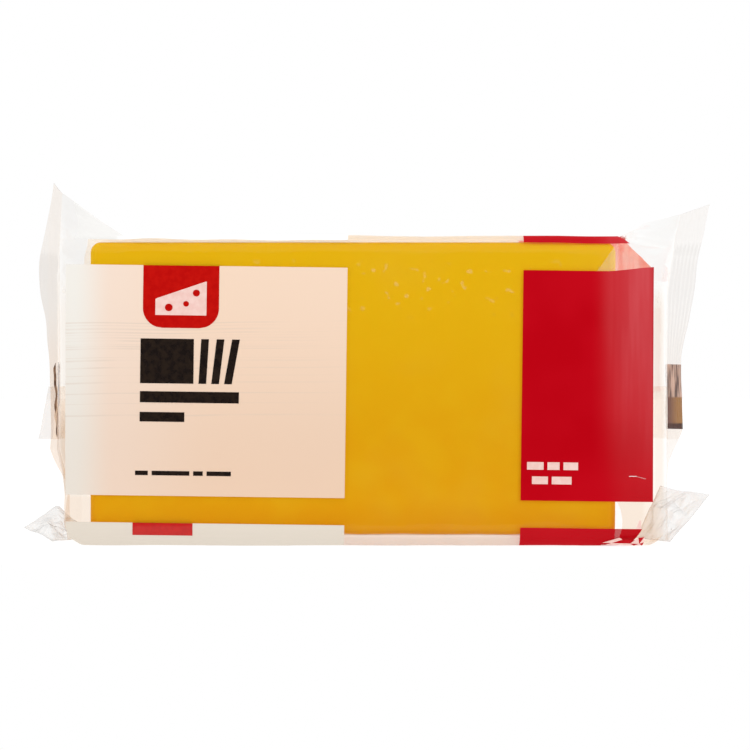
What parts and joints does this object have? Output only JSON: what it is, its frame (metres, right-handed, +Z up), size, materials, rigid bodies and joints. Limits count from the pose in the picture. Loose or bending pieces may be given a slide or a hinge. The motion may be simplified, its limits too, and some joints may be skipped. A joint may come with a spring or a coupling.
{
  "type": "cheddar cheese block in clear film pack",
  "caption": "Orange cheddar block sealed in a clear flow-wrap film with crimped end fins, pointed film ears and a folded lengthwise seal on the back.",
  "frame": {"origin": "on the table, under the middle of the cheese: the middle of the flat bottom side of the pack", "axes": "+X along the block's length, from the fin on the left to the fin on the right; -Y towards the large front face; +Z up, the block standing on its long narrow side"},
  "size_m": [0.2186, 0.0566, 0.1164],
  "materials": {
    "cheddar_in_film": "glossy clear film over smooth orange cheddar"
  },
  "bodies": {
    "root": {"cheddar_pack": "cheddar_in_film"}
  },
  "joints": []
}
